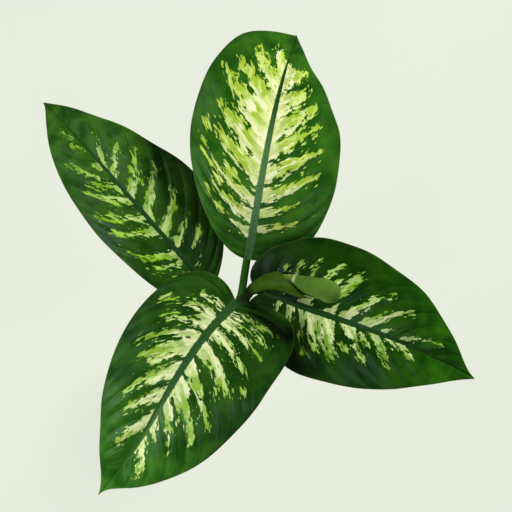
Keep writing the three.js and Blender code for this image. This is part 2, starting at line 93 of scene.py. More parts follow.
def make_piece(name, points, triangles, finish, maps=None):
    """A smooth mesh from points in millimetres, with closed seams and poles. Each entry of
    maps gives two numbers for each point, kept as a UV map."""
    points = points.reshape(-1, 3)
    first, place, source = merged(points, triangles)
    mesh = bpy.data.meshes.new(name)
    mesh.vertices.add(len(first))
    mesh.vertices.foreach_set("co", (points[first] * MM).ravel())
    mesh.loops.add(source.size)
    mesh.loops.foreach_set("vertex_index", place[source].ravel())
    mesh.polygons.add(len(source))
    mesh.polygons.foreach_set("loop_start", np.arange(0, source.size, 3))
    mesh.update(calc_edges=True)
    mesh.polygons.foreach_set("use_smooth", np.ones(len(source), bool))
    for label, values in (maps or {}).items():
        layer = mesh.uv_layers.new(name=label)
        layer.uv.foreach_set("vector", values.reshape(-1, 2)[source].ravel())
    mesh.validate()
    mesh.materials.append(finish)
    piece = bpy.data.objects.new(name, mesh)
    bpy.context.scene.collection.objects.link(piece)
    return piece


def make_rings(name, grid, finish, maps=None):
    """A piece from a row of rings of points, each closed on itself."""
    return make_piece(name, grid, cells(len(grid) - 1, grid.shape[1], True), finish, maps)


class Finish:
    """A material being put together. Each method adds one or two nodes and gives the output."""

    def __init__(self, name, **surface):
        self.material = bpy.data.materials.new(name)
        self.material.use_nodes = True
        self.tree = self.material.node_tree
        self.surface = self.tree.nodes["Principled BSDF"]
        self.set(**surface)

    def put(self, socket, value):
        if isinstance(value, bpy.types.NodeSocket):
            self.tree.links.new(value, socket)
        elif socket.type == "RGBA":
            socket.default_value = (*value, 1)
        else:
            socket.default_value = value

    def set(self, **sockets):
        """Values or outputs for the surface shader, by the socket's name with _ for a space."""
        for name, value in sockets.items():
            self.put(self.surface.inputs[name.replace("_", " ")], value)

    def node(self, kind, out=0, values=(), **settings):
        node = self.tree.nodes.new("ShaderNode" + kind)
        for name, value in settings.items():
            setattr(node, name, value)
        for socket, value in dict(values).items():
            self.put(node.inputs[socket], value)
        return node.outputs[out]

    def calc(self, operation, a, b=0, c=0):
        return self.node("Math", values={0: a, 1: b, 2: c}, operation=operation)

    def times(self, a, b):
        return self.calc("MULTIPLY", a, b)

    def off(self, value, middle):
        """How far a value is from the middle, either way."""
        return self.calc("ABSOLUTE", self.calc("SUBTRACT", value, middle))

    def spread(self, value, width, base, middle=0.5):
        """base + width (value - middle): lets noise push a value both ways."""
        return self.calc("MULTIPLY_ADD", self.calc("SUBTRACT", value, middle), width, base)

    def mapped(self, value, low, high, to_low=0, to_high=1):
        """Turns the range low to high into to_low to to_high by an S-curve, held beyond."""
        return self.node("MapRange", values={0: value, 1: low, 2: high, 3: to_low, 4: to_high},
                         interpolation_type="SMOOTHSTEP")

    def mix(self, share, a, b, blend="MIX"):
        return self.node("Mix", 2, {0: share, 6: a, 7: b}, data_type="RGBA", blend_type=blend)

    def over(self, tone, colour, value, low, high, share=1):
        """Lays a colour over a tone: none of it where the value is low, a share where high."""
        return self.mix(self.mapped(value, low, high, 0, share), tone, colour)

    def uv(self, label):
        return self.node("UVMap", uv_map=label)

    def part(self, vector, axis):
        return self.node("SeparateXYZ", axis, {0: vector})

    def place(self, scale=1000):
        """The place on the object: in millimetres when scale is 1000."""
        return self.node("Mapping", values={0: self.node("TexCoord", 3), 3: (scale, scale, scale)})

    def noise(self, vector, scale=1, detail=2, rough=0.5):
        """Cloudy noise. A scale for each axis draws it out; where it has two, the third is 1."""
        if isinstance(scale, tuple):
            vector, scale = self.node("Mapping", values={0: vector, 3: (*scale, 1)[:3]}), 1
        return self.node("TexNoise", values={"Vector": vector, "Scale": scale, "Detail": detail,
                                             "Roughness": rough})

    def bump(self, height, depth, before=None):
        """Relief on top of the relief before it: depth is in millimetres for a height of 1."""
        values = {"Height": height, "Distance": depth * MM}
        if before is not None:
            values["Normal"] = before
        return self.node("Bump", values=values)


def tinted(colour, share):
    """A colour, brighter or darker by a share of itself."""
    return tuple(share * c for c in colour)


def cove_profile():
    """Flat, then a quarter circle, then an upright wall."""
    bend = np.linspace(0, np.pi / 2, 17)
    curve = np.stack([COVE_FLAT + COVE_BEND * np.sin(bend), COVE_BEND * (1 - np.cos(bend))], -1)
    return np.vstack([[0, 0], [COVE_FLAT * 0.5, 0], curve, [COVE_FLAT + COVE_BEND, COVE_WALL]])


paper = Finish("pale_paper", Roughness=0.9, Specular_IOR_Level=0.1, Emission_Strength=COVE_GLOW)
mottle = paper.noise(paper.place(4), detail=3)
tint = paper.over(COVE_COLOUR, tinted(COVE_COLOUR, 0.985), mottle, 0.3, 0.7)
paper.set(Base_Color=paper.mix(1.0, tint, (0.15, 0.15, 0.15), "MULTIPLY"), Emission_Color=tint)
profile = cove_profile()
for name, part in (("floor", profile[:3]), ("backdrop", profile[2:])):
    facing_in = cells(len(part) - 1, COVE_SIDES, True)[:, ::-1]
    sheet = make_piece(name, turned(part, COVE_SIDES), facing_in, paper.material)
    sheet.visible_glossy = False
    sheet.visible_diffuse = name == "floor"      # only the flat part lights the leaves from below

world = bpy.data.worlds.new("sky")
world.use_nodes = True
for socket, value in zip(world.node_tree.nodes["Background"].inputs, (SKY_COLOUR, SKY_LIGHT)):
    socket.default_value = value
bpy.context.scene.world = world
bpy.context.scene.view_settings.view_transform = "Standard"

# Square soft lamps, each turned to the subject. A sheen lamp only shows as gloss on the leaves,
# and the two others light them without a mirror image.
for name, way, size, power, colour in (
        ("back_lamp", (0.60, 0.62, 0.51), 0.55, 38, (1.0, 0.99, 0.94)),
        ("front_lamp", (-0.68, -0.48, 0.46), 0.8, 31, (1.0, 1.0, 0.96)),
        ("left_sheen", (-0.78, -0.36, 0.50), 1.1, 6, SHEEN_COLOUR),
        ("front_sheen", (0.55, -0.48, 0.68), 1.0, 2.4, SHEEN_COLOUR),
        ("far_sheen", (-0.62, 0.56, 0.55), 1.0, 2.8, SHEEN_COLOUR)):
    light = bpy.data.lights.new(name, "AREA")
    light.shape = "SQUARE"
    light.size, light.energy, light.color = size, power, colour
    lamp = bpy.data.objects.new(name, light)
    lamp.location = SUBJECT + Vector(way).normalized() * LAMP_AWAY
    lamp.rotation_euler = (SUBJECT - lamp.location).to_track_quat("-Z", "Y").to_euler()
    lamp.visible_glossy = name.endswith("sheen")
    lamp.visible_diffuse = not lamp.visible_glossy
    bpy.context.scene.collection.objects.link(lamp)

flat = np.cos(CAMERA_HEIGHT)
away = Vector((-np.sin(CAMERA_TURN) * flat, -np.cos(CAMERA_TURN) * flat, np.sin(CAMERA_HEIGHT)))
across = (-away).cross(Vector((0, 1, 0))).normalized()
camera = bpy.data.objects.new("camera", bpy.data.cameras.new("camera"))
camera.data.lens, camera.data.sensor_width = CAMERA_LENS, CAMERA_SENSOR
camera.matrix_world = (Matrix.Translation(SUBJECT + CAMERA_AWAY * away)
                       @ Matrix((across, away.cross(across), away)).transposed().to_4x4())
bpy.context.scene.collection.objects.link(camera)
bpy.context.scene.camera = camera


# ---------------- pot
# A 12 cm clay pot with a thick collar and three drain holes, thrown or pressed from red clay
# and fired without glaze. Lime from the water has bloomed on the lower wall and on the rim.
POT_HEIGHT, POT_RIM, POT_FOOT = 108, 60, 41
POT_WALL, POT_FLOOR = 5, 6
POT_COLLAR, POT_STEP = 84, 3.2       # height where the collar begins, how far it stands out
POT_SIDES, POT_ROUNDING, SHARP_EDGE = 160, 1.2, np.radians(50)
DRAIN_RADIUS, DRAIN_CIRCLE, DRAIN_SIDES = 5, 24, 32
DRAIN_ANGLES = np.radians([90, 210, 330])
SLIVER = 0.02                # edges shorter than this are left over from the drilling


def pot_outside(z):
    """The wall's outer radius at a height, without the collar: an even taper."""
    return POT_FOOT + (POT_RIM - POT_STEP - POT_FOOT) * z / POT_HEIGHT


def eased(corners, reach):
    """Rounds a profile's corners: each is replaced by the arc (1-t)^2 A + 2t(1-t) P + t^2 B
    between the points A and B that lie up to reach from the corner P along its two sides."""
    before, at, after = corners[:-2], corners[1:-1], corners[2:]
    ends = []
    for side in (before, after):
        length = np.linalg.norm(side - at, axis=1, keepdims=True)
        ends.append(at + (side - at) * np.minimum(reach / length, 0.45))
    t = np.linspace(0, 1, 5)[None, :, None]
    arcs = (1 - t) ** 2 * ends[0][:, None] + 2 * t * (1 - t) * at[:, None] + t * t * ends[1][:, None]
    return np.vstack([corners[:1], arcs.reshape(-1, 2), corners[-1:]])


pot_profile = eased(np.array([
    [0, 0], [39.5, 0], [pot_outside(1.5), 1.5], [pot_outside(30), 30], [pot_outside(81), 81],
    [pot_outside(84) + 0.8, 83.4], [58.4, 84.4], [59.4, 86], [60, 105], [59.2, 107.1], [57.4, 108],
    [54.6, 108], [53, 106.8], [pot_outside(104) - POT_WALL, 104], [pot_outside(9.5) - POT_WALL, 9.5],
    [pot_outside(6) - POT_WALL - 3.5, 6], [0, 6],
]), POT_ROUNDING)

clay = Finish("fired_clay", Roughness=0.82, Specular_IOR_Level=0.25)
spot = clay.place()
height = clay.part(spot, 2)
grain = clay.noise(spot, 1.6, 3, 0.6)
body = clay.over((0.42, 0.145, 0.062), (0.52, 0.205, 0.095), clay.noise(spot, 0.035, 4, 0.6), 0.35, 0.65)
body = clay.over(body, (0.30, 0.10, 0.045), grain, 0.3, 0.75, 0.4)
body = clay.over(body, (0.62, 0.42, 0.28), clay.noise(spot, 0.55, 2, 0.7), 0.66, 0.72, 0.5)
low = clay.mapped(height, 44, 4, 0, 0.75)
band = clay.mapped(clay.off(height, POT_COLLAR), 6, 0, 0, 0.45)
lime = clay.times(clay.calc("MAXIMUM", low, band), clay.mapped(clay.noise(spot, 0.09, 5, 0.65), 0.4, 0.68))
body = clay.mix(lime, body, (0.66, 0.56, 0.47))
rings = clay.calc("SINE", clay.calc("MULTIPLY_ADD", clay.noise(spot, 0.02, 1), 6.0, clay.times(height, 2.1)))
clay.set(Base_Color=body, Normal=clay.bump(grain, 0.25, clay.bump(rings, 0.05)),
         Roughness=clay.mapped(lime, 0, 0.6, 0.78, 0.95))

pot = make_rings("clay_pot", turned(pot_profile, POT_SIDES), clay.material)
drill = turned(np.array([[0, -8], [DRAIN_RADIUS, -8], [DRAIN_RADIUS, 14], [0, 14]], float), DRAIN_SIDES)
drill = drill.reshape(-1, 3)
drill_at = [[DRAIN_CIRCLE * np.cos(a), DRAIN_CIRCLE * np.sin(a), 0] for a in DRAIN_ANGLES]
cutter = make_piece("drills", np.concatenate([drill + place for place in drill_at]),
                    np.concatenate([cells(3, DRAIN_SIDES, True) + k * len(drill) for k in range(3)]),
                    clay.material)
cut = pot.modifiers.new("drains", "BOOLEAN")
cut.operation, cut.solver, cut.object = "DIFFERENCE", "EXACT", cutter
pot_mesh = bpy.data.meshes.new_from_object(pot.evaluated_get(bpy.context.evaluated_depsgraph_get()))
slivers = bmesh.new()
slivers.from_mesh(pot_mesh)
bmesh.ops.dissolve_degenerate(slivers, dist=SLIVER * MM, edges=slivers.edges)
slivers.to_mesh(pot_mesh)
pot.modifiers.clear()
pot.data = pot_mesh
pot_mesh.polygons.foreach_set("use_smooth", np.ones(len(pot_mesh.polygons), bool))
pot_mesh.set_sharp_from_angle(angle=SHARP_EDGE)
bpy.data.objects.remove(cutter)
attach(pot, "root")
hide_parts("pot")


# ---------------- soil
# Dark potting mix of peat, bark crumbs and white perlite, filled to a finger's breadth below
# the lip. Its top is lumpy; the crumbs and the perlite lie loose on it.
SOIL_TOP, SOIL_FLOOR = 97, 6.3
SOIL_ROUNDS, SOIL_SECTORS = 70, 220
SOIL_EASE = 0.45             # clearance to the pot's wall
CANE_HOLE, CANE_HOLE_FLOOR = 8.2, 57.7
CRUMB_FACES = 8, 6           # round it and up it


def soil_top(x, y):
    """Crossed waves: broad lumps, and finer ones of a third of the height."""
    broad = (np.sin(0.31 * x + 0.9) * np.cos(0.27 * y - 0.4) + 0.6 * np.sin(0.55 * y + 0.23 * x + 2)
             + 0.5 * np.cos(0.7 * x - 0.5 * y))
    fine = np.sin(1.9 * x + 1.3 * np.sin(0.8 * y)) * np.sin(1.7 * y + 0.9 * np.sin(1.1 * x))
    crumbs = np.sin(3.7 * x + 2 * np.sin(1.9 * y)) * np.sin(4.1 * y + 2 * np.sin(2.3 * x + 1))
    return SOIL_TOP + 0.8 * broad + 0.35 * fine + 0.2 * crumbs


def soil_grid():
    """Rings from the middle of the floor out, up the wall, in over the top, and down the
    cane's hole to its bottom."""
    inside = POT_WALL + SOIL_EASE
    brim = pot_outside(SOIL_TOP) - inside
    wall = [(0, SOIL_FLOOR), (pot_outside(POT_FLOOR) - inside - 3.5, SOIL_FLOOR),
            (pot_outside(9.5) - inside, 9.8), (brim, SOIL_TOP - 1.2)]
    radius = np.append([r for r, _ in wall], np.linspace(brim - 0.3, CANE_HOLE, SOIL_ROUNDS))
    grid = turned(np.stack([radius, 0 * radius], -1), SOIL_SECTORS)
    grid[..., 2] = soil_top(grid[..., 0], grid[..., 1])
    grid[:4, :, 2] = np.array([h for _, h in wall])[:, None]
    grid[4, :, 2] = SOIL_TOP - 0.4
    hole = [[CANE_HOLE, 92], [CANE_HOLE, CANE_HOLE_FLOOR], [0, CANE_HOLE_FLOOR]]
    return np.concatenate([grid, turned(np.array(hole), SOIL_SECTORS)])


earth = Finish("potting_mix", Roughness=0.95, Specular_IOR_Level=0.2)
spot = earth.place()
lumps = earth.noise(spot, 0.5, 5, 0.65)
fibres = earth.noise(spot, (0.56, 2.24, 1.4), 3, 0.6)
tone = earth.over((0.022, 0.013, 0.008), (0.085, 0.048, 0.027), lumps, 0.3, 0.7)
tone = earth.over(tone, (0.17, 0.105, 0.06), fibres, 0.6, 0.72, 0.7)
earth.set(Base_Color=tone, Normal=earth.bump(fibres, 0.4, earth.bump(lumps, 0.9)))
soil = make_rings("soil_fill", soil_grid(), earth.material)
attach(soil, "root")
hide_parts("soil")


def crumbs(count, seed, sizes, flat, inner, outer):
    """Loose lumps on the soil: balls, each pulled out of round along random waves, flattened,
    turned, and sunk by a third into the top where it lies, between two radii."""
    draw = np.random.default_rng(seed)
    turn, rise = np.meshgrid(full_turn(CRUMB_FACES[0]), np.linspace(-np.pi / 2, np.pi / 2, CRUMB_FACES[1]))
    ball = np.stack([np.cos(rise) * np.cos(turn), np.cos(rise) * np.sin(turn), np.sin(rise)], -1)
    ball = ball.reshape(-1, 3)
    waves = np.einsum("nwk,pk->nwp", 2.2 * draw.normal(size=(count, 3, 3)), ball)
    dent = 1 + 0.16 * np.sin(waves + draw.uniform(0, 6, (count, 3, 1))).sum(1)
    size = draw.uniform(*sizes, (count, 1, 1)) * np.stack([
        draw.uniform(0.8, 1.5, count), draw.uniform(0.6, 1, count), draw.uniform(*flat, count)], -1)[:, None]
    x, y, z = np.moveaxis(ball * dent[..., None] * size, -1, 0)
    heading = draw.uniform(0, 2 * np.pi, (count, 1))
    tilt = 0.25 * draw.normal(size=(count, 1))
    radius = np.sqrt(draw.uniform(inner ** 2, outer ** 2, (count, 1)))
    angle = draw.uniform(0, 2 * np.pi, (count, 1))
    x0, y0 = radius * np.cos(angle), radius * np.sin(angle)
    z0 = soil_top(x0, y0) + 0.33 * size[:, :, 2]
    tint = np.repeat(draw.uniform(0, 1, (count, 2)), len(ball), axis=0)
    faces = np.concatenate([cells(CRUMB_FACES[1] - 1, CRUMB_FACES[0], True) + k * len(ball)
                            for k in range(count)])
    return np.stack([x0 + x * np.cos(heading) - y * np.sin(heading),
                     y0 + x * np.sin(heading) + y * np.cos(heading), z0 + z + tilt * x], -1), faces, tint


bark = Finish("bark_crumbs", Roughness=0.9, Specular_IOR_Level=0.2)
grain = bark.noise(bark.place(), 1.3, 4, 0.65)
tone = bark.mix(bark.part(bark.uv("tint"), 0), (0.05, 0.024, 0.013), (0.19, 0.10, 0.052))
tone = bark.over(tone, (0.03, 0.016, 0.01), grain, 0.35, 0.7, 0.7)
bark.set(Base_Color=tone, Normal=bark.bump(grain, 0.35))
perlite = Finish("perlite", Roughness=0.85, Specular_IOR_Level=0.3)
pits = perlite.noise(perlite.place(), 1.6, 3, 0.6)
perlite.set(Base_Color=perlite.over((0.36, 0.33, 0.28), (0.74, 0.72, 0.67), pits, 0.35, 0.6),
            Normal=perlite.bump(pits, 0.3))
points, faces, tint = crumbs(420, 11, (0.9, 2.6), (0.35, 0.8), 9.8, 46)
bark_crumbs = make_piece("bark_crumbs", points, faces, bark.material, {"tint": tint})
points, faces, tint = crumbs(90, 23, (0.6, 1.4), (0.7, 1.0), 10, 47)
grains = make_piece("perlite_grains", points, faces, perlite.material)
for loose in (bark_crumbs, grains):
    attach(loose, "root")


# ---------------- cane
# The bare green stem, as thick as a finger, which leans a little as it climbs. Where old
# leaves fell it keeps a raised ring with a bud over it; corky specks run along its length.
CANE_ROUTE = [[0, 0, 58], [0, 0, 98], [0.5, 1, 150], [2.8, 4.6, 212], [8, 14, 288]]
CANE_FOOT_RADIUS, CANE_TOP_RADIUS = 7.6, 6
SCAR_FIRST, SCAR_SPACING, SCARS = 57, 15, 6      # the marks of old leaves, along the cane
SCAR_TURN = 2.4              # each bud grows this much further round, 137 degrees
CANE_RINGS, CANE_SIDES = 420, 72
GAP = 0.3                    # what stands on the cane or hugs it keeps this clear


def through(route):
    """A centripetal Catmull-Rom curve: its parameter runs 0 to 1 in equal steps from point to
    point; a chord of length d counts as d^(1/2), and the ends are continued straight on."""
    p = np.asarray(route, float)
    p = np.vstack([2 * p[0] - p[1], p, 2 * p[-1] - p[-2]])
    chord = np.linalg.norm(np.diff(p, axis=0), axis=1) ** 0.5

    def curve(t):
        at = np.clip(np.asarray(t, float), 0, 1) * (len(p) - 3)
        k = np.minimum(at.astype(int), len(p) - 4)
        w = (at - k)[..., None]
        p0, p1, p2, p3 = (p[k + n] for n in range(4))
        d0, d1, d2 = (chord[k + n][..., None] for n in range(3))
        leave = ((p1 - p0) / d0 - (p2 - p0) / (d0 + d1) + (p2 - p1) / d1) * d1
        arrive = ((p2 - p1) / d1 - (p3 - p1) / (d1 + d2) + (p3 - p2) / d2) * d1
        return (p1 + leave * w + (3 * (p2 - p1) - 2 * leave - arrive) * w ** 2
                + (2 * (p1 - p2) + leave + arrive) * w ** 3)
    return curve


def unit(vector):
    """Vectors of length 1 in the same directions."""
    return vector / np.linalg.norm(vector, axis=-1, keepdims=True)


def direction(curve, t):
    """A curve's unit direction, from two points a ten-thousandth to each side."""
    return unit(curve(np.minimum(t + 1e-4, 1)) - curve(np.maximum(t - 1e-4, 0)))


def run_of(points):
    """How far along its row each point lies, straight from point to point."""
    return np.append(0, np.cumsum(np.linalg.norm(np.diff(points, axis=0), axis=1)))


def by_length(curve):
    """Reads a curve by the share of its length: a function for place and direction, and the
    length."""
    t = np.linspace(0, 1, 1601)
    run = run_of(curve(t))

    def at(share):
        here = np.interp(share, run / run[-1], t)
        return curve(here), direction(curve, here)
    return at, run[-1]


def axes(way, wanted):
    """Two unit directions square to way: the first leans towards wanted, the second is
    way x first."""
    wanted = np.asarray(wanted, float) + 0 * way
    first = unit(wanted - way * (wanted * way).sum(-1, keepdims=True))
    return first, np.cross(way, first)


def around(centre, first, second, radius, angle):
    """Rings: centre + radius (first cos angle + second sin angle), a row for each centre."""
    return (centre[:, None] + first[:, None] * (radius * np.cos(angle))[..., None]
            + second[:, None] * (radius * np.sin(angle))[..., None])


def capped(grid):
    """Closes a tube: the middle of each end ring is added as a ring of one point."""
    ends = [np.repeat(grid[k].mean(0)[None], grid.shape[1], 0)[None] for k in (0, -1)]
    return np.concatenate([ends[0], grid, ends[1]])


def make_tube(name, grid, finish):
    """A piece from rings round a middle line, with its map: millimetres along it, and the turn
    from 1 at the seam to 0 at the far side and back."""
    turn = np.abs(np.linspace(-1, 1, grid.shape[1], endpoint=False))
    tube_map = np.stack(np.broadcast_arrays(run_of(grid.mean(1))[:, None], turn[None]), -1)
    return make_rings(name, grid, finish, {"length_and_turn": tube_map})


cane_at, cane_length = by_length(through(CANE_ROUTE))


def cane_radius(share):
    return CANE_FOOT_RADIUS + (CANE_TOP_RADIUS - CANE_FOOT_RADIUS) * share


def cane_share(height):
    """The share of the cane's length at which it reaches a height."""
    share = np.linspace(0, 1, 2001)
    return np.interp(height, cane_at(share)[0][:, 2], share)


def step(x):
    """An S-shaped rise from 0 to 1: 3x^2 - 2x^3."""
    x = np.clip(x, 0, 1)
    return x * x * (3 - 2 * x)


def cane_grid():
    """Rings along the cane. At each scar the radius swells by 0.66 mm over 1.7 mm to a flat
    crest with a fine groove; buds are rounded bumps just above, each further round."""
    share = np.linspace(0, 1, CANE_RINGS)
    run = share[:, None] * cane_length
    angle = full_turn(CANE_SIDES)[None]
    radius = cane_radius(share)[:, None] + 0 * angle
    for k in range(SCARS):
        at = SCAR_FIRST + SCAR_SPACING * k
        past = np.abs(run - at - 0.5 * np.cos(angle - SCAR_TURN * k))
        radius += 0.66 * step(1 - (past - 0.5) / 1.7) - 0.14 * np.exp(-(past / 0.25) ** 2)
        side = np.angle(np.exp(1j * (angle - SCAR_TURN * k))) * CANE_FOOT_RADIUS
        radius += 0.75 * np.exp(-(side / 1.9) ** 2 - ((run - at - 3.4) / 1.9) ** 2)
    place, way = cane_at(share)
    return capped(around(place, *axes(way, (1, 0, 0)), radius, angle))


bare = Finish("cane_skin", Roughness=0.5, Specular_IOR_Level=0.4)
where = bare.uv("length_and_turn")
run = bare.part(where, 0)
streak = bare.noise(where, (0.12, 26), 3, 0.6)
cloud = bare.noise(bare.place(), 0.06, 3, 0.6)
specks = bare.noise(where, (0.5, 38), 1, 0.5)
tone = bare.over((0.075, 0.135, 0.035), (0.135, 0.20, 0.058), cloud, 0.3, 0.7)
tone = bare.over(tone, (0.04, 0.095, 0.025), streak, 0.45, 0.75, 0.6)
tone = bare.over(tone, (0.33, 0.27, 0.15), specks, 0.66, 0.72, 0.8)
to_scar = bare.off(bare.calc("MODULO", run, SCAR_SPACING), SCAR_FIRST % SCAR_SPACING)
ring = bare.times(bare.mapped(to_scar, 2.2, 0.6, 0, 0.85), bare.mapped(run, 140, 132))
tone = bare.mix(ring, tone, (0.27, 0.20, 0.105))
older = bare.times(bare.mapped(run, 75, 25, 0, 0.75), bare.mapped(cloud, 0.3, 0.6, 0.5, 1))
tone = bare.mix(older, tone, (0.20, 0.15, 0.085))
bare.set(Base_Color=tone, Normal=bare.bump(specks, 0.25, bare.bump(streak, 0.2)))
cane = make_tube("cane_stem", cane_grid(), bare.material)
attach(cane, "root")
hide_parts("cane")


# ---------------- grown leaves
# Four leathery blades, each with its own stalk, which hugs the cane at its foot and runs on
# below the blade as a rib. Side veins sink between soft swellings, and the cream colour
# spreads from the midrib along them in ragged streaks, where the leaf has no green.
VEINS = 14                   # side veins on each half of a blade
VEIN_SWEEP = 1.9
VEIN_ROWS, BLADE_COLUMNS = 13, 46
MARGIN_WAVE = 1.8
BLADE_HALF_THICKNESS, MARGIN_THINNING = 0.42, 0.2
LEFT, RIGHT = -1, 1
RIGHT_VEINS = 40             # added to the vein numbers of right halves, so that the noise differs

